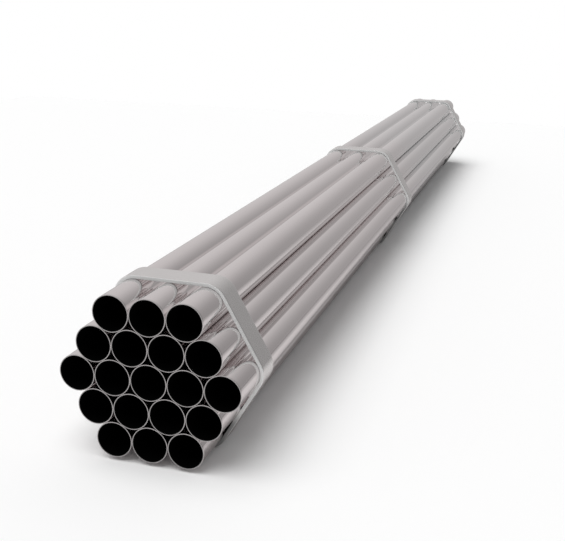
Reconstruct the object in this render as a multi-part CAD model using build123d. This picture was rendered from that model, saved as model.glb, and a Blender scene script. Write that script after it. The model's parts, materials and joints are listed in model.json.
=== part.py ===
from build123d import *
from math import cos, radians
import os

# Hexagonal bundle of thin-walled round steel pipes, bound by three flat steel bands.
# Lengths are in millimetres. The pipes lie along Y, with their front ends towards -Y.
# The origin is on the floor, under the middle of the bundle, and +Z is up.

# Pipe
pipe_outer_diameter = 60.3
pipe_wall = 1.8
pipe_length = 3000.0

# Stack: pipes along each side of the hexagon, and the play between neighbouring pipes
pipes_per_side = 3
pipe_gap = 0.2

# Bands: flat bar bent round the stack, with a little play over the six corner pipes
band_width = 50.0
band_thickness = 6.0
band_edge_break = 1.0
band_clearance = 0.2

# Places along the pipes: each end band from its own pipe ends, the middle band ahead of mid-length
end_band_setback = 110.0
middle_band_lead = 30.0

# Worked out from the sizes above
hexagon_sides = 6
hexagon_turn = radians(180 / hexagon_sides)
pipe_outer_radius = pipe_outer_diameter / 2
pipe_inner_radius = pipe_outer_radius - pipe_wall
pitch = pipe_outer_diameter + pipe_gap
row_rise = pitch * cos(hexagon_turn)
steps_to_corner = pipes_per_side - 1
row_count = 2 * pipes_per_side - 1
band_inner_radius = pipe_outer_radius + band_clearance
band_outer_radius = band_inner_radius + band_thickness
bundle_axis_height = steps_to_corner * row_rise + band_outer_radius


def make_pipe():
    """Make one pipe about the Y axis: a ring carried along its length, with both ends cut square."""
    ring = Circle(pipe_outer_radius) - Circle(pipe_inner_radius)
    return extrude(Plane.XZ * ring, pipe_length / 2, both=True)


def pipe_places():
    """List each pipe's name and the X and Z of its axis, from the bottom row up and left to right."""
    places = []
    for row in range(row_count):
        steps_up = row - steps_to_corner
        pipes_in_row = row_count - abs(steps_up)
        height = bundle_axis_height + steps_up * row_rise
        for place in range(pipes_in_row):
            across = (place - (pipes_in_row - 1) / 2) * pitch
            places.append((f"pipe_row{row + 1}_{place + 1}", across, height))
    return places


def make_band():
    """Make one band about the Y axis: a closed hoop that runs flat over the hexagon's sides.

    Its corners are arcs about the six corner pipes, and all its long edges are broken.
    """
    corner_axes = RegularPolygon(steps_to_corner * pitch, hexagon_sides)
    outside = offset(corner_axes, band_outer_radius, kind=Kind.ARC)
    inside = offset(corner_axes, band_inner_radius, kind=Kind.ARC)
    hoop = extrude(Plane.XZ * (outside - inside), band_width / 2, both=True)
    long_edges = hoop.edges().filter_by(Axis.Y, reverse=True)
    return chamfer(long_edges, band_edge_break)


def band_places():
    """List each band's name and the Y of its middle."""
    end_band_y = pipe_length / 2 - end_band_setback
    return [("front_band", -end_band_y), ("middle_band", -middle_band_lead), ("rear_band", end_band_y)]


pipe = make_pipe()
band = make_band()
pieces = {}
for name, across, height in pipe_places():
    pieces[name] = Pos(across, 0, height) * pipe
for name, along in band_places():
    pieces[name] = Pos(0, along, bundle_axis_height) * band

os.makedirs("parts", exist_ok=True)
for name, piece in pieces.items():
    export_step(piece, f"parts/{name}.step")
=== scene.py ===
"""Dress the bundle of steel pipes: smooth pipes and bands, their finishes, the floor, light and camera.

Everything is in metres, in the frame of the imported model: the pipes lie along Y with their front ends
towards -Y, +Z is up, and the bundle rests on the floor at Z = 0.
"""

import json
import logging
import math
from dataclasses import dataclass, field
from enum import Enum

import bpy
import numpy as np
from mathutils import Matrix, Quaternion, Vector


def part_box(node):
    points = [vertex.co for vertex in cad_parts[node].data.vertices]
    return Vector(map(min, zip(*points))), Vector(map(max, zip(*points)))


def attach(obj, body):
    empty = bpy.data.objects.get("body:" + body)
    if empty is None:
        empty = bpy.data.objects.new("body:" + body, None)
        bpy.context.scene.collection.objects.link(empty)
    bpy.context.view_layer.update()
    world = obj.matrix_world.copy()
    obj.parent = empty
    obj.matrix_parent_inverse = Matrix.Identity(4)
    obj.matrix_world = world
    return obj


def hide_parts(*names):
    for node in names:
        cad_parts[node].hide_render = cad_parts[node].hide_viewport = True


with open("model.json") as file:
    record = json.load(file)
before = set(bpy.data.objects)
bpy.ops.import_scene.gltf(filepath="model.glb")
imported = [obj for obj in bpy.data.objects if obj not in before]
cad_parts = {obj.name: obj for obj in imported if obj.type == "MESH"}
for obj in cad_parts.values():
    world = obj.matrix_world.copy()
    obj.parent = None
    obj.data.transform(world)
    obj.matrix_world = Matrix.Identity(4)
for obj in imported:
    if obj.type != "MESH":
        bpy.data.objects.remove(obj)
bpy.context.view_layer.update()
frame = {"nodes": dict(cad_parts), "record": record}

LOG = logging.getLogger("pipe_bundle")
BODY = "root"
MILLIMETRE = 0.001
BAND_CLEARANCE = 0.2 * MILLIMETRE
CORNER_PIPES = 6
IMAGE_WIDTH = 565
SENSOR_WIDTH_MM = 36.0
CLOUD_LOW = 0.3
CLOUD_HIGH = 0.7


class Slot(Enum):
    """The record's material slots."""

    PIPE = "pipe_steel"
    BAND = "band_steel"


class Mask(Enum):
    """Names of the mesh attributes that the finishes read."""

    BORE = "bore"
    EDGE = "edge"
    INSIDE = "inside"


class BandPlace(Enum):
    """The band nodes, by their place along the pipes."""

    FRONT = "front_band"
    MIDDLE = "middle_band"
    REAR = "rear_band"


# Surfaces


def quarter_arc(centre: tuple[float, float], radius: float, start_deg: float, steps: int) -> np.ndarray:
    """Give the points of a quarter circle, turning the way that angles grow.

    Point i stands at the centre plus radius times (cos a, sin a), where a goes evenly from the start
    angle to the start angle plus 90 degrees.

    Args:
        centre: Middle of the circle, as two coordinates.
        radius: Radius of the circle.
        start_deg: Angle of the first point, in degrees.
        steps: Number of straight steps along the arc.

    Returns:
        An array of steps + 1 points with two columns.
    """
    angle = np.radians(np.linspace(start_deg, start_deg + 90.0, steps + 1))
    return np.column_stack([centre[0] + radius * np.cos(angle), centre[1] + radius * np.sin(angle)])


@dataclass
class ClosedSurface:
    """A surface that closes on itself both ways, as a ring-shaped solid's skin does.

    Attributes:
        points: Grid of points, rows along the first parameter and columns along the second.
        masks: One grid of values from 0 to 1 for each attribute that a finish reads.
        wrap: Distance along the rows and along the columns, one longer than the grid both ways.
    """

    points: np.ndarray
    masks: dict[Mask, np.ndarray] = field(default_factory=dict)
    wrap: tuple[np.ndarray, np.ndarray] | None = None

    def corners(self) -> np.ndarray:
        """Number the four vertices of each face.

        They are a cell's own point, the one in the next row, the one across, and the one in the next
        column.

        Returns:
            One row of four vertex numbers for each face.
        """
        rows, columns = self.points.shape[:2]
        row, column = np.meshgrid(np.arange(rows), np.arange(columns), indexing="ij")
        next_row = (row + 1) % rows
        next_column = (column + 1) % columns
        cells = [row * columns + column, next_row * columns + column,
                 next_row * columns + next_column, row * columns + next_column]
        return np.stack(cells, axis=-1).reshape(-1, 4)

    def wrap_corners(self) -> np.ndarray:
        """Give each face corner's two distances, which run on past the seams instead of starting again.

        Returns:
            One row of two distances for each face corner, in the order of the faces' vertices.
        """
        rows, columns = self.points.shape[:2]
        along, across = np.meshgrid(self.wrap[0], self.wrap[1], indexing="ij")
        grid = np.stack([along, across], axis=-1)
        cells = [grid[:rows, :columns], grid[1:, :columns], grid[1:, 1:], grid[:rows, 1:]]
        return np.stack(cells, axis=2).reshape(-1, 2)

    def to_object(self, name: str) -> bpy.types.Object:
        """Make a smooth-shaded mesh object of the surface, at the origin.

        Args:
            name: Name of the object and of its mesh.

        Returns:
            The new object, linked to the scene.
        """
        corners = self.corners()
        mesh = bpy.data.meshes.new(name)
        mesh.vertices.add(self.points.shape[0] * self.points.shape[1])
        mesh.vertices.foreach_set("co", self.points.reshape(-1).astype(np.float32))
        mesh.loops.add(corners.size)
        mesh.loops.foreach_set("vertex_index", corners.reshape(-1).astype(np.int32))
        mesh.polygons.add(len(corners))
        mesh.polygons.foreach_set("loop_start", np.arange(0, corners.size, 4, dtype=np.int32))
        mesh.update(calc_edges=True)
        mesh.polygons.foreach_set("use_smooth", np.ones(len(corners), dtype=bool))
        for mask, values in self.masks.items():
            layer = mesh.attributes.new(mask.value, "FLOAT", "POINT")
            layer.data.foreach_set("value", values.reshape(-1).astype(np.float32))
        if self.wrap is not None:
            layer = mesh.uv_layers.new(name="wrap")
            layer.data.foreach_set("uv", self.wrap_corners().reshape(-1).astype(np.float32))
        mesh.validate()
        piece = bpy.data.objects.new(name, mesh)
        bpy.context.scene.collection.objects.link(piece)
        return piece


# Shader nodes


class NodeWeb:
    """Short calls for building one node tree, in a material, a group or the world."""

    def __init__(self, tree: bpy.types.NodeTree) -> None:
        """Keep the tree, emptied of its nodes."""
        self.tree = tree
        tree.nodes.clear()

    def add(self, kind: str, inputs: dict | None = None, **settings: object) -> bpy.types.Node:
        """Add a node, set its properties, and link or set its inputs.

        Args:
            kind: Blender's type name of the node.
            inputs: Socket name or number to a value, or to the output socket that feeds it.
            settings: Properties of the node itself.

        Returns:
            The new node.
        """
        node = self.tree.nodes.new(kind)
        for key, value in settings.items():
            setattr(node, key, value)
        for key, value in (inputs or {}).items():
            if isinstance(value, bpy.types.NodeSocket):
                self.tree.links.new(value, node.inputs[key])
            else:
                node.inputs[key].default_value = value
        return node

    def maths(self, operation: str, first: object, second: object,
              clamp: bool = False) -> bpy.types.NodeSocket:
        """Add a Math node of two values and give its output socket."""
        inputs = {0: first, 1: second}
        return self.add("ShaderNodeMath", inputs, operation=operation, use_clamp=clamp).outputs[0]

    def mean(self, first: object, second: object) -> bpy.types.NodeSocket:
        """Give the output socket of the mean of two values."""
        return self.maths("MULTIPLY", self.maths("ADD", first, second), 0.5)

    def ramp(self, value: object, start: object, stop: object, low: float = 0.0, high: float = 1.0,
             smooth: bool = False) -> bpy.types.NodeSocket:
        """Map a value from start..stop to low..high, held within them.

        Args:
            value: The value, or the socket that feeds it.
            start: Where the result is low.
            stop: Where the result is high.
            low: Result at the start.
            high: Result at the stop.
            smooth: Whether it eases in and out instead of running straight.

        Returns:
            The output socket.
        """
        inputs = {"Value": value, "From Min": start, "From Max": stop, "To Min": low, "To Max": high}
        course = "SMOOTHSTEP" if smooth else "LINEAR"
        return self.add("ShaderNodeMapRange", inputs, interpolation_type=course).outputs[0]

    def spread(self, value: object, low: float, high: float) -> bpy.types.NodeSocket:
        """Map a value from 0..1 to low..high, held within them, and give its output socket."""
        return self.ramp(value, 0.0, 1.0, low, high)

    # A Mix node numbers its sockets by kind: values go in at 2 and 3, colours at 6 and 7.

    def mix(self, share: object, first: object, second: object) -> bpy.types.NodeSocket:
        """Mix two values by a share from 0 to 1 and give the output socket."""
        return self.add("ShaderNodeMix", {0: share, 2: first, 3: second}).outputs[0]

    def blend(self, share: object, first: object, second: object) -> bpy.types.NodeSocket:
        """Mix two colours by a share from 0 to 1 and give the output socket."""
        return self.add("ShaderNodeMix", {0: share, 6: first, 7: second}, data_type="RGBA").outputs[2]

    def mask(self, mask: Mask) -> bpy.types.NodeSocket:
        """Give the output socket of a mesh attribute's value."""
        return self.add("ShaderNodeAttribute", attribute_name=mask.value).outputs["Fac"]

    def effect(self, group: bpy.types.NodeTree, place: object, frequency: tuple) -> bpy.types.Node:
        """Add a shared node group that is read at a place with a frequency."""
        return self.add("ShaderNodeGroup", {"Place": place, "Frequency": frequency}, node_tree=group)

    def passed_on(self, light_path: bpy.types.Node) -> bpy.types.NodeSocket:
        """Give 1 for a ray that a mirroring or clear surface passed on, and 0 for any other."""
        ray = light_path.outputs
        return self.maths("MAXIMUM", ray["Is Glossy Ray"], ray["Is Transmission Ray"])


def colour(red: float, green: float, blue: float) -> tuple[float, float, float, float]:
    """Give an opaque linear colour."""
    return (red, green, blue, 1.0)


def new_group(name: str, inputs: dict[str, str],
              outputs: dict[str, str]) -> tuple[bpy.types.NodeTree, NodeWeb]:
    """Make an empty shader node group with named sockets.

    Args:
        name: Name of the group.
        inputs: Input names to socket types.
        outputs: Output names to socket types.

    Returns:
        The group and the web that builds it.
    """
    group = bpy.data.node_groups.new(name, "ShaderNodeTree")
    for direction, sockets in (("INPUT", inputs), ("OUTPUT", outputs)):
        for socket_name, kind in sockets.items():
            group.interface.new_socket(name=socket_name, in_out=direction, socket_type=kind)
    return group, NodeWeb(group)


def streak_group() -> bpy.types.NodeTree:
    """Make the group of fine lines left by drawing or rolling.

    Noise is read at a place whose axes are each scaled by Frequency: small numbers stretch the lines
    along that axis. Streak is the noise from 0 to 1, and Fine is a second, four times finer one.

    Returns:
        The group, with inputs Place and Frequency and outputs Streak and Fine.
    """
    group, web = new_group(
        "steel_streaks",
        {"Place": "NodeSocketVector", "Frequency": "NodeSocketVector"},
        {"Streak": "NodeSocketFloat", "Fine": "NodeSocketFloat"})
    source = web.add("NodeGroupInput")
    scaled = web.add("ShaderNodeVectorMath", {0: source.outputs["Place"], 1: source.outputs["Frequency"]},
                     operation="MULTIPLY").outputs[0]
    broad = web.add("ShaderNodeTexNoise", {"Vector": scaled, "Scale": 1.0, "Detail": 3.0, "Roughness": 0.6})
    fine = web.add("ShaderNodeTexNoise", {"Vector": scaled, "Scale": 4.0, "Detail": 2.0, "Roughness": 0.5})
    web.add("NodeGroupOutput", {"Streak": broad.outputs[0], "Fine": fine.outputs[0]})
    return group


def cloud_group() -> bpy.types.NodeTree:
    """Make the group of soft clouds, for the uneven tone of handled steel.

    Returns:
        The group, with inputs Place and Frequency and output Cloud, from 0 to 1 with more contrast
        than plain noise.
    """
    group, web = new_group(
        "steel_clouds",
        {"Place": "NodeSocketVector", "Frequency": "NodeSocketVector"},
        {"Cloud": "NodeSocketFloat"})
    source = web.add("NodeGroupInput")
    scaled = web.add("ShaderNodeVectorMath", {0: source.outputs["Place"], 1: source.outputs["Frequency"]},
                     operation="MULTIPLY").outputs[0]
    noise = web.add("ShaderNodeTexNoise", {"Vector": scaled, "Scale": 1.0, "Detail": 4.0, "Roughness": 0.55})
    web.add("NodeGroupOutput", {"Cloud": web.ramp(noise.outputs[0], CLOUD_LOW, CLOUD_HIGH)})
    return group


@dataclass(frozen=True)
class SteelEffects:
    """The node groups that the two steel finishes share."""

    streaks: bpy.types.NodeTree
    clouds: bpy.types.NodeTree

    @classmethod
    def make(cls) -> "SteelEffects":
        """Build both groups once."""
        return cls(streak_group(), cloud_group())


# Finishes


@dataclass(frozen=True)
class PipeFinish:
    """Drawn steel of the pipes: glossy, with fine lines along the pipe and a bore painted black as shade.

    A painted reflection tint: a faint warm cast at the front, standing in for the warm room that the steel
    mirrors there, fades to plain grey past the middle of the bundle.

    Attributes:
        dark_tone: Steel where the lines and clouds are lowest.
        light_tone: Steel where they are highest.
        front_painted_cast: Painted warm cast of the mirrored room on the steel at the front, as a factor.
        rear_painted_cast: Painted cast on the steel at the rear, faintly cool against the mirrored room's
            warmth, as a factor.
        painted_cast_from: Y where the painted cast starts to change.
        painted_cast_to: Y where it has changed.
        painted_bore_shade: Black painted on the bore as shade, dull and not mirroring, for the dark inside
            the pipe.
        rim_tone: Colour of the cut ends.
        low_roughness: Roughness where the lines and clouds are lowest.
        high_roughness: Roughness where they are highest.
        bore_roughness: Roughness of the bore.
        line_frequency: Closeness of the fine lines along X, Y and Z.
        cloud_frequency: Closeness of the clouds along X, Y and Z.
        line_depth: Depth of the fine lines.
    """

    dark_tone: tuple = colour(0.813, 0.813, 0.813)
    light_tone: tuple = colour(0.866, 0.866, 0.866)
    front_painted_cast: tuple = colour(1.020, 0.990, 0.990)
    rear_painted_cast: tuple = colour(0.993, 1.003, 1.004)
    painted_cast_from: float = -0.15
    painted_cast_to: float = 0.45
    painted_bore_shade: tuple = colour(0.002, 0.002, 0.002)
    rim_tone: tuple = colour(0.740, 0.729, 0.724)
    low_roughness: float = 0.04
    high_roughness: float = 0.08
    bore_roughness: float = 0.95
    line_frequency: tuple = (260.0, 1.5, 260.0)
    cloud_frequency: tuple = (14.0, 1.6, 14.0)
    line_depth: float = 0.006 * MILLIMETRE

    def material(self, effects: SteelEffects) -> bpy.types.Material:
        """Build the finish.

        Args:
            effects: Node groups shared by the steels.

        Returns:
            The material.
        """
        material = bpy.data.materials.new("drawn_pipe_steel")
        material.use_nodes = True
        web = NodeWeb(material.node_tree)
        place = web.add("ShaderNodeTexCoord").outputs["Object"]
        bore, edge = web.mask(Mask.BORE), web.mask(Mask.EDGE)
        lines = web.effect(effects.streaks, place, self.line_frequency)
        clouds = web.effect(effects.clouds, place, self.cloud_frequency)
        mixed = web.mean(lines.outputs["Streak"], clouds.outputs["Cloud"])
        grey = web.blend(mixed, self.dark_tone, self.light_tone)
        # Painted reflection tint: the steel's colour carries a warm cast of the mirrored room at the front,
        # fading to grey towards the rear.
        along = web.add("ShaderNodeSeparateXYZ", {0: place}).outputs["Y"]
        rearward = web.ramp(along, self.painted_cast_from, self.painted_cast_to, smooth=True)
        tint = web.blend(rearward, self.front_painted_cast, self.rear_painted_cast)
        steel = web.add("ShaderNodeVectorMath", {0: grey, 1: tint}, operation="MULTIPLY").outputs[0]
        rimmed = web.blend(edge, steel, self.rim_tone)
        # Painted shade: the bore is painted black, dull and not mirroring, and this fades out over the flat
        # of the cut end.
        tone = web.blend(bore, rimmed, self.painted_bore_shade)
        outside_rough = web.spread(mixed, self.low_roughness, self.high_roughness)
        rough = web.mix(bore, outside_rough, self.bore_roughness)
        metal = web.maths("SUBTRACT", 1.0, bore, clamp=True)
        bump = web.add("ShaderNodeBump", {"Strength": 1.0, "Distance": self.line_depth,
                                          "Height": lines.outputs["Fine"]})
        shader = web.add("ShaderNodeBsdfPrincipled", {
            "Base Color": tone, "Roughness": rough, "Metallic": metal, "Specular IOR Level": 0.0,
            "Normal": bump.outputs[0]})
        web.add("ShaderNodeOutputMaterial", {"Surface": shader.outputs[0]})
        return material


@dataclass(frozen=True)
class BandFinish:
    """Rolled flat bar of the bands: neutral grey, duller than the pipes, with matt cut edges.

    Fine lines run round the hoop. The inner face is bright and smooth. It and the cut edges carry painted
    shade at the foot, reaching higher up on the middle band than on the front one. The outer face has none.

    Attributes:
        dark_tone: Outer face where the lines and clouds are lowest.
        light_tone: Outer face where they are highest.
        edge_tone: Colour of the cut edges.
        low_roughness: Roughness of the outer face where the lines and clouds are lowest.
        high_roughness: Roughness of the outer face where they are highest.
        edge_roughness: Roughness of the cut edges.
        inner_tone: Colour of the inner face.
        inner_roughness: Roughness of the inner face.
        painted_shade_share: Share of the tone that the painted shade leaves at the foot.
        painted_shade_fade: Height over which the painted shade at the foot fades out.
        front_painted_shade_height: Height of the painted shade at the foot of the front band.
        middle_painted_shade_height: Height of the painted shade at the foot of the middle band.
        painted_shade_rise_from: Y where that height starts to rise.
        painted_shade_rise_to: Y where it has risen.
        line_frequency: Closeness of the fine lines across and along the bar.
        cloud_frequency: Closeness of the clouds along X, Y and Z.
        line_depth: Depth of the fine lines.
    """

    dark_tone: tuple = colour(0.815, 0.824, 0.816)
    light_tone: tuple = colour(0.875, 0.884, 0.876)
    edge_tone: tuple = colour(0.850, 0.850, 0.845)
    low_roughness: float = 0.20
    high_roughness: float = 0.28
    edge_roughness: float = 0.60
    inner_tone: tuple = colour(0.98, 0.98, 0.98)
    inner_roughness: float = 0.05
    painted_shade_share: float = 0.30
    painted_shade_fade: float = 0.035
    front_painted_shade_height: float = 0.080
    middle_painted_shade_height: float = 0.148
    painted_shade_rise_from: float = -1.4
    painted_shade_rise_to: float = 0.0
    line_frequency: tuple = (3.0, 420.0, 1.0)
    cloud_frequency: tuple = (30.0, 30.0, 30.0)
    line_depth: float = 0.008 * MILLIMETRE

    def material(self, effects: SteelEffects) -> bpy.types.Material:
        """Build the finish.

        Args:
            effects: Node groups shared by the steels.

        Returns:
            The material.
        """
        material = bpy.data.materials.new("rolled_band_steel")
        material.use_nodes = True
        web = NodeWeb(material.node_tree)
        place = web.add("ShaderNodeTexCoord").outputs["Object"]
        wrap = web.add("ShaderNodeUVMap", uv_map="wrap").outputs[0]
        edge, inside = web.mask(Mask.EDGE), web.mask(Mask.INSIDE)
        lines = web.effect(effects.streaks, wrap, self.line_frequency)
        clouds = web.effect(effects.clouds, place, self.cloud_frequency)
        mixed = web.mean(lines.outputs["Streak"], clouds.outputs["Cloud"])
        inner = web.maths("SUBTRACT", inside, edge, clamp=True)
        steel = web.blend(inner, web.blend(mixed, self.dark_tone, self.light_tone), self.inner_tone)
        unshaded_tone = web.blend(edge, steel, self.edge_tone)
        # Painted shade: the inner face and the cut edges darken towards the floor, up to a height that rises
        # from the front band to the middle band.
        axes = web.add("ShaderNodeSeparateXYZ", {0: place}).outputs
        painted_shade_top = web.ramp(axes["Y"], self.painted_shade_rise_from, self.painted_shade_rise_to, self.front_painted_shade_height, self.middle_painted_shade_height)
        fade_start = web.maths("SUBTRACT", painted_shade_top, self.painted_shade_fade)
        foot = web.ramp(axes["Z"], fade_start, painted_shade_top, 1.0, 0.0, smooth=True)
        kept = web.spread(web.maths("MULTIPLY", inside, foot), 1.0, self.painted_shade_share)
        tone = web.add("ShaderNodeVectorMath", {0: unshaded_tone, "Scale": kept}, operation="SCALE").outputs[0]
        outer_rough = web.spread(mixed, self.low_roughness, self.high_roughness)
        face_rough = web.mix(inner, outer_rough, self.inner_roughness)
        rough = web.mix(edge, face_rough, self.edge_roughness)
        metal = web.maths("SUBTRACT", 1.0, edge, clamp=True)
        bump = web.add("ShaderNodeBump", {"Strength": 1.0, "Distance": self.line_depth,
                                          "Height": lines.outputs["Fine"]})
        shader = web.add("ShaderNodeBsdfPrincipled", {
            "Base Color": tone, "Roughness": rough, "Metallic": metal, "Normal": bump.outputs[0]})
        web.add("ShaderNodeOutputMaterial", {"Surface": shader.outputs[0]})
        return material


# Sub-assemblies


def dress(piece: bpy.types.Object, node: str, material: bpy.types.Material) -> None:
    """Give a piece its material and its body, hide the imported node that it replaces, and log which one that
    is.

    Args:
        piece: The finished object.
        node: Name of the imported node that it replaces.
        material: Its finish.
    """
    piece.data.materials.append(material)
    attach(piece, BODY)
    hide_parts(node)
    LOG.info("%s stands for %s: %d faces", piece.name, node, len(piece.data.polygons))


@dataclass
class PipeStack:
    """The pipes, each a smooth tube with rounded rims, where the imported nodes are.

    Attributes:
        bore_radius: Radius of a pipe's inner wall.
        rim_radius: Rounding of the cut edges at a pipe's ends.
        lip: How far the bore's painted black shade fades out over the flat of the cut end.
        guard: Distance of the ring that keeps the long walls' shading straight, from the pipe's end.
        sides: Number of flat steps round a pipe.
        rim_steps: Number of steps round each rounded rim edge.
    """

    bore_radius: float
    rim_radius: float = 0.4 * MILLIMETRE
    lip: float = 0.9 * MILLIMETRE
    guard: float = 4.0 * MILLIMETRE
    sides: int = 96
    rim_steps: int = 4

    def names(self) -> list[str]:
        """List the pipes' nodes by name."""
        return sorted(name for name in frame["nodes"] if name.startswith("pipe_row"))

    def section(self, radius: float, front: float, rear: float) -> tuple[np.ndarray, np.ndarray, np.ndarray]:
        """Work out the closed outline of a pipe's wall, cut along its axis.

        The outline runs back along the outer wall, round the rear rim, forward along the bore and round
        the front rim. Each rim has two quarter circles.

        Args:
            radius: Outer radius.
            front: Y of the front end.
            rear: Y of the rear end.

        Returns:
            Points as (distance from the axis, Y), then the bore mask and the edge mask of each.
        """
        edge, steps = self.rim_radius, self.rim_steps
        outer, inner = radius - edge, self.bore_radius + edge
        rims = [quarter_arc((outer, rear - edge), edge, 0.0, steps),
                quarter_arc((inner, rear - edge), edge, 90.0, steps),
                quarter_arc((inner, front + edge), edge, 180.0, steps),
                quarter_arc((outer, front + edge), edge, 270.0, steps)]
        outer_wall = np.array([[radius, front + self.guard], [radius, rear - self.guard]])
        inner_wall = np.array([[self.bore_radius, rear - self.guard], [self.bore_radius, front + self.guard]])
        points = np.vstack([outer_wall, rims[0], rims[1], inner_wall, rims[2], rims[3]])
        # The bore mask marks where the black painted shade lies; it fades out over the flat of the cut end.
        depth = np.clip((inner + self.lip - points[:, 0]) / (edge + self.lip), 0.0, 1.0)
        rim_mask = np.ones(steps + 1)
        wall_mask = np.zeros(2)
        edge_mask = np.concatenate([wall_mask, rim_mask, rim_mask, wall_mask, rim_mask, rim_mask])
        return points, depth, edge_mask

    def surface(self, node: str) -> ClosedSurface:
        """Carry the wall's outline round the pipe's axis.

        Point (i, j) lies at the axis plus the outline's distance i times (cos t, sin t) across the pipe,
        where t is j steps of a full turn, and at the outline's own Y along it.

        Args:
            node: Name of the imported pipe, which gives the place, the radius and the ends.

        Returns:
            The pipe's skin.
        """
        low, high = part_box(node)
        axis_x, axis_z = (low.x + high.x) / 2, (low.z + high.z) / 2
        outline, bore, edge = self.section((high.z - low.z) / 2, low.y, high.y)
        turn = np.linspace(0.0, 2 * math.pi, self.sides, endpoint=False)
        across = axis_x + outline[:, :1] * np.cos(turn)
        upward = axis_z + outline[:, :1] * np.sin(turn)
        along = np.broadcast_to(outline[:, 1:], across.shape)
        round_pipe = np.ones(self.sides)
        masks = {Mask.BORE: np.outer(bore, round_pipe), Mask.EDGE: np.outer(edge, round_pipe)}
        return ClosedSurface(np.stack([across, along, upward], axis=-1), masks)

    def build(self, finish: bpy.types.Material) -> None:
        """Make and dress every pipe.

        Args:
            finish: The pipes' material.
        """
        for node in self.names():
            piece = self.surface(node).to_object(f"steel_{node}")
            dress(piece, node, finish)


@dataclass
class BandSet:
    """The flat bands, each a rounded bar section carried round the hexagon of the corner pipes.

    Attributes:
        corner_axes: X and Z of the corner pipes' axes, in order round the bundle.
        inner_radius: Distance of a band's inner face from a corner pipe's axis.
        outer_radius: Distance of its outer face.
        outer_edge: Rounding of the bar's outer edges.
        inner_edge: Rounding of its inner edges.
        guard: Distance of the rings that keep the flat stretches' shading flat, from their ends.
        corner_steps: Number of steps round each corner.
        edge_steps: Number of steps round each edge of the bar.
    """

    corner_axes: np.ndarray
    inner_radius: float
    outer_radius: float
    outer_edge: float = 1.5 * MILLIMETRE
    inner_edge: float = 0.5 * MILLIMETRE
    guard: float = 2.0 * MILLIMETRE
    corner_steps: int = 16
    edge_steps: int = 5

    def section(self, front: float, rear: float) -> tuple[np.ndarray, np.ndarray, np.ndarray]:
        """Work out the closed outline of the bar: a rectangle with rounded corners.

        The edge mask is 1 on the cut edges and 0 on the broad faces. The inside mask is 1 on the cut
        edges and the inner face. Both fade over the rounding at the outer face.

        Args:
            front: Y of the band's front edge.
            rear: Y of its rear edge.

        Returns:
            Points as (distance from the corner pipe's axis, Y), then the edge mask and the inside mask
            of each.
        """
        large, small, steps, guard = self.outer_edge, self.inner_edge, self.edge_steps, self.guard
        outer, inner = self.outer_radius - large, self.inner_radius + small
        rows = [[[self.outer_radius, front + large + guard], [self.outer_radius, rear - large - guard]],
                quarter_arc((outer, rear - large), large, 0.0, steps),
                quarter_arc((inner, rear - small), small, 90.0, steps),
                [[self.inner_radius, rear - small - guard], [self.inner_radius, front + small + guard]],
                quarter_arc((inner, front + small), small, 180.0, steps),
                quarter_arc((outer, front + large), large, 270.0, steps)]
        points = np.vstack(rows)
        flat, curve = np.zeros(2), np.ones(steps + 1)
        cut = np.concatenate([flat, curve, curve, flat, curve, curve])
        inside = np.clip((self.outer_radius - points[:, 0]) / large, 0.0, 1.0)
        return points, cut * inside, inside

    def path(self) -> tuple[np.ndarray, np.ndarray]:
        """Work out the way round the bundle.

        At each corner pipe the outward direction turns evenly by one sixth of a full turn about the
        pipe's axis. Between two corners it stays the same, so the band runs straight, and two guard
        places stand a little way along each straight stretch.

        Returns:
            The base points on the hexagon of the corner axes, and the outward directions.
        """
        count = len(self.corner_axes)
        sweep = 2 * math.pi / count
        turn = np.linspace(-sweep / 2, sweep / 2, self.corner_steps + 1)
        across, upward = (self.corner_axes - self.corner_axes.mean(axis=0)).T
        corner = np.arctan2(upward, across)
        angle = corner[:, None] + np.concatenate([turn[:1], turn, turn[-1:]])[None, :]
        outward = np.stack([np.cos(angle), np.sin(angle)], axis=-1)
        base = np.repeat(self.corner_axes[:, None, :], angle.shape[1], axis=1)
        tangent = np.stack([-np.sin(angle), np.cos(angle)], axis=-1)
        base[:, 0] -= tangent[:, 0] * self.guard
        base[:, -1] += tangent[:, -1] * self.guard
        return base.reshape(-1, 2), outward.reshape(-1, 2)

    def surface(self, node: str) -> ClosedSurface:
        """Carry the bar's section along the way round the bundle.

        Point (i, j) lies at base point j plus the section's distance i along outward direction j, and
        at the section's own Y.

        Args:
            node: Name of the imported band, which gives the place along the pipes and the width.

        Returns:
            The band's skin, with the distances round the section and round the bundle.
        """
        low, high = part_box(node)
        outline, edge, inside = self.section(low.y, high.y)
        base, outward = self.path()
        flat = base[None, :, :] + outline[:, :1, None] * outward[None, :, :]
        along = np.broadcast_to(outline[:, 1:], flat.shape[:2])
        points = np.stack([flat[..., 0], along, flat[..., 1]], axis=-1)
        round_bundle = np.ones(len(base))
        masks = {Mask.EDGE: np.outer(edge, round_bundle), Mask.INSIDE: np.outer(inside, round_bundle)}
        return ClosedSurface(points, masks, (self.lengths(outline), self.lengths(flat[0])))

    @staticmethod
    def lengths(loop: np.ndarray) -> np.ndarray:
        """Give the distance walked at each point of a closed loop, and at its start again."""
        steps = np.linalg.norm(np.roll(loop, -1, axis=0) - loop, axis=1)
        return np.concatenate([[0.0], np.cumsum(steps)])

    def build(self, finish: bpy.types.Material) -> None:
        """Make and dress every band.

        Args:
            finish: The bands' material.
        """
        for place in BandPlace:
            piece = self.surface(place.value).to_object(f"steel_{place.value}")
            dress(piece, place.value, finish)


# Studio


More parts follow.
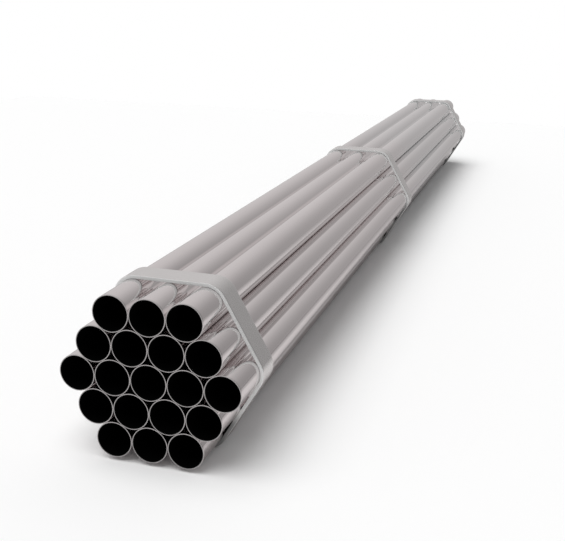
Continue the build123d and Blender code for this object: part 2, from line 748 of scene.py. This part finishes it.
def heading(azimuth_deg: float, elevation_deg: float) -> Vector:
    """Give the direction from the bundle to something at an azimuth and an elevation.

    Azimuth 0 is in front of the pipes' front ends, and 90 is to their right.

    Args:
        azimuth_deg: Turn to the right, in degrees.
        elevation_deg: Height above the horizon, in degrees.

    Returns:
        A vector of length 1.
    """
    azimuth, elevation = math.radians(azimuth_deg), math.radians(elevation_deg)
    level = math.cos(elevation)
    return Vector((math.sin(azimuth) * level, -math.cos(azimuth) * level, math.sin(elevation)))


@dataclass(frozen=True)
class Studio:
    """Pale floor under one broad lamp, in a room whose right side is darker than its left.

    Attributes:
        floor_half: Half the floor's side.
        floor_tone: Colour of the floor, as the camera sees it.
        room_tone: Colour of the room and the floor, as steel shows them.
        front_shine: Lightness of the floor as steel shows it, in front of the bundle.
        rear_shine: Lightness of the floor as steel shows it towards the rear, lowered there as painted shade.
        floor_shade_from: Y where that painted shade starts to deepen.
        floor_shade_to: Y where it is deepest.
        gloss_slant: Slant of a ray, from 0 for upright to 1 for level, where the floor starts to mirror.
        gloss_roughness: Roughness of that mirror.
        background: Strength of the background that the camera sees, where 1 is white.
        left_glow: Strength of the room's left side, as steel shows it.
        right_glow: Strength of its right side.
        glow_from: Sideways part of the direction where the room starts to darken.
        glow_to: Sideways part where it is darkest.
        room_light: Strength of the room's light on dull surfaces.
        lamp_strength: Strength of the lamp.
        lamp_spread_deg: Width of the lamp as seen from the bundle.
        lamp_azimuth_deg: Side that the lamp leans to.
        lamp_elevation_deg: Height of the lamp above the horizon.
        mirror_depth: How many times light may pass from pipe to pipe.
    """

    floor_half: float = 3.0
    floor_tone: tuple = colour(0.97, 0.97, 0.97)
    room_tone: tuple = colour(1.033, 0.9835, 0.9835)
    front_shine: float = 0.655
    rear_shine: float = 0.465
    floor_shade_from: float = -1.2
    floor_shade_to: float = 0.6
    gloss_slant: float = 0.75
    gloss_roughness: float = 0.0
    background: float = 1.0
    left_glow: float = 0.599
    right_glow: float = 0.190
    glow_from: float = -0.394
    glow_to: float = 0.95
    room_light: float = 0.38
    lamp_strength: float = 2.1
    lamp_spread_deg: float = 58.0
    lamp_azimuth_deg: float = -42.0
    lamp_elevation_deg: float = 73.6
    mirror_depth: int = 16

    def floor(self) -> None:
        """Lay the floor at the level that the bundle rests on.

        The camera sees it plain and matt. Steel shows it darker, with painted shade that deepens towards the
        rear, and more and more polished the flatter the ray that meets it.
        """
        half = self.floor_half
        mesh = bpy.data.meshes.new("studio_floor")
        mesh.from_pydata([(-half, -half, 0), (half, -half, 0), (half, half, 0), (-half, half, 0)],
                         [], [(0, 1, 2, 3)])
        floor = bpy.data.objects.new("studio_floor", mesh)
        bpy.context.scene.collection.objects.link(floor)
        material = bpy.data.materials.new("pale_floor")
        material.use_nodes = True
        web = NodeWeb(material.node_tree)
        place = web.add("ShaderNodeTexCoord").outputs["Object"]
        along = web.add("ShaderNodeSeparateXYZ", {0: place}).outputs["Y"]
        # Painted shade: the floor as steel shows it darkens from the front towards the rear.
        shine = web.ramp(along, self.floor_shade_from, self.floor_shade_to, self.front_shine, self.rear_shine)
        shown = web.add("ShaderNodeVectorMath", {0: self.room_tone[:3], "Scale": shine},
                        operation="SCALE").outputs[0]
        clear = web.passed_on(web.add("ShaderNodeLightPath"))
        matt = web.add("ShaderNodeBsdfDiffuse", {"Color": web.blend(clear, self.floor_tone, shown)})
        slant = web.add("ShaderNodeLayerWeight").outputs["Facing"]
        gloss = web.ramp(slant, self.gloss_slant, 1.0)
        polished = web.add("ShaderNodeBsdfAnisotropic", {"Roughness": self.gloss_roughness})
        shader = web.add("ShaderNodeMixShader", {
            0: web.maths("MULTIPLY", clear, gloss), 1: matt.outputs[0], 2: polished.outputs[0]})
        web.add("ShaderNodeOutputMaterial", {"Surface": shader.outputs[0]})
        mesh.materials.append(material)

    def world(self) -> None:
        """Make the room.

        The camera sees a white background. Steel shows a dimmer, faintly warm room whose strength falls
        smoothly from the left to the right. Dull surfaces get an even light from all round, which stays
        neutral also by way of the steel.
        """
        world = bpy.data.worlds.new("soft_room")
        world.use_nodes = True
        web = NodeWeb(world.node_tree)
        direction = web.add("ShaderNodeTexCoord").outputs["Generated"]
        sideways = web.add("ShaderNodeSeparateXYZ", {0: direction}).outputs["X"]
        glow = web.ramp(sideways, self.glow_from, self.glow_to, self.left_glow, self.right_glow, smooth=True)
        light_path = web.add("ShaderNodeLightPath")
        clear = web.passed_on(light_path)
        seen = web.mix(clear, self.room_light, glow)
        strength = web.mix(light_path.outputs["Is Camera Ray"], seen, self.background)
        mirrored = web.maths("SUBTRACT", clear, light_path.outputs["Diffuse Depth"], clamp=True)
        tone = web.blend(mirrored, colour(1.0, 1.0, 1.0), self.room_tone)
        background = web.add("ShaderNodeBackground", {"Color": tone, "Strength": strength})
        web.add("ShaderNodeOutputWorld", {"Surface": background.outputs[0]})
        bpy.context.scene.world = world

    def lamp(self) -> None:
        """Hang one broad lamp above the bundle, for the soft shadow at its foot."""
        light = bpy.data.lights.new("broad_lamp", "SUN")
        light.energy = self.lamp_strength
        light.angle = math.radians(self.lamp_spread_deg)
        lamp = bpy.data.objects.new("broad_lamp", light)
        towards = heading(self.lamp_azimuth_deg, self.lamp_elevation_deg)
        lamp.rotation_mode = "QUATERNION"
        lamp.rotation_quaternion = towards.to_track_quat("Z", "Y")
        lamp.location = towards
        lamp.visible_glossy = False
        bpy.context.scene.collection.objects.link(lamp)

    def build(self) -> None:
        """Set up the floor, the room, the lamp and plain colour output."""
        self.floor()
        self.world()
        self.lamp()
        scene = bpy.context.scene
        scene.view_settings.view_transform = "Standard"
        scene.cycles.max_bounces = self.mirror_depth
        scene.cycles.glossy_bounces = self.mirror_depth


@dataclass(frozen=True)
class PhotoCamera:
    """The camera of the photo: in front, to the right and above, looking along the bundle.

    Attributes:
        focal_pixels: Focal length in pixels of the photo's width.
        azimuth_deg: How far it stands to the right of the pipes' line.
        elevation_deg: How far it looks down.
        roll_deg: How far it is turned about its line of sight.
        offset_pitches: Its place from the middle of the front ends, in pipe spacings.
    """

    focal_pixels: float = 913.56
    azimuth_deg: float = 16.704
    elevation_deg: float = 16.776
    roll_deg: float = 1.196
    offset_pitches: tuple = (9.253, -19.291, 9.408)

    def build(self, front_centre: Vector, pitch: float) -> None:
        """Place the camera and make it the scene's own.

        Args:
            front_centre: Middle of the bundle's front ends.
            pitch: Spacing of the pipes.
        """
        data = bpy.data.cameras.new("photo_camera")
        data.sensor_width = SENSOR_WIDTH_MM
        data.lens = self.focal_pixels / IMAGE_WIDTH * SENSOR_WIDTH_MM
        camera = bpy.data.objects.new("photo_camera", data)
        back = heading(self.azimuth_deg, self.elevation_deg)
        camera.rotation_mode = "QUATERNION"
        level = (-back).to_track_quat("-Z", "Y")
        camera.rotation_quaternion = level @ Quaternion((0.0, 0.0, 1.0), math.radians(self.roll_deg))
        camera.location = front_centre + Vector(self.offset_pitches) * pitch
        bpy.context.scene.collection.objects.link(camera)
        bpy.context.scene.camera = camera


# Frame readings


def axis_of(node: str) -> np.ndarray:
    """Give the X and Z of a packed pipe's axis."""
    low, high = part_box(node)
    return np.array([(low.x + high.x) / 2, (low.z + high.z) / 2])


def bore_radius() -> float:
    """Give the pipes' inner radius, from the record's first bore."""
    bore = next(mount for mount in frame["record"]["mounts"] if mount["kind"] == "bore")
    return bore["dims"]["r_mm"] * MILLIMETRE


def corner_axes(stack: PipeStack) -> np.ndarray:
    """Find the six pipes that stand furthest from the bundle's middle, in order round it.

    Args:
        stack: The pipes.

    Returns:
        Six rows of X and Z.
    """
    axes = np.array([axis_of(name) for name in stack.names()])
    middle = axes.mean(axis=0)
    reach = np.linalg.norm(axes - middle, axis=1)
    corners = axes[np.argsort(-reach)[:CORNER_PIPES]]
    order = np.argsort(np.arctan2(corners[:, 1] - middle[1], corners[:, 0] - middle[0]))
    return corners[order]


def main() -> None:
    """Build the bundle's pieces, the studio and the camera."""
    logging.basicConfig(level=logging.INFO, format="%(name)s: %(message)s")
    effects = SteelEffects.make()
    stack = PipeStack(bore_radius())
    corners = corner_axes(stack)
    low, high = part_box("pipe_row1_1")
    band_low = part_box(BandPlace.FRONT.value)[0]
    outer_radius = corners[:, 1].min() - band_low.z
    bands = BandSet(corners, (high.z - low.z) / 2 + BAND_CLEARANCE, outer_radius)
    stack.build(PipeFinish().material(effects))
    bands.build(BandFinish().material(effects))
    pitch = axis_of("pipe_row1_2")[0] - axis_of("pipe_row1_1")[0]
    middle = corners.mean(axis=0)
    Studio().build()
    PhotoCamera().build(Vector((middle[0], low.y, middle[1])), pitch)


if __name__ == "__main__":
    main()
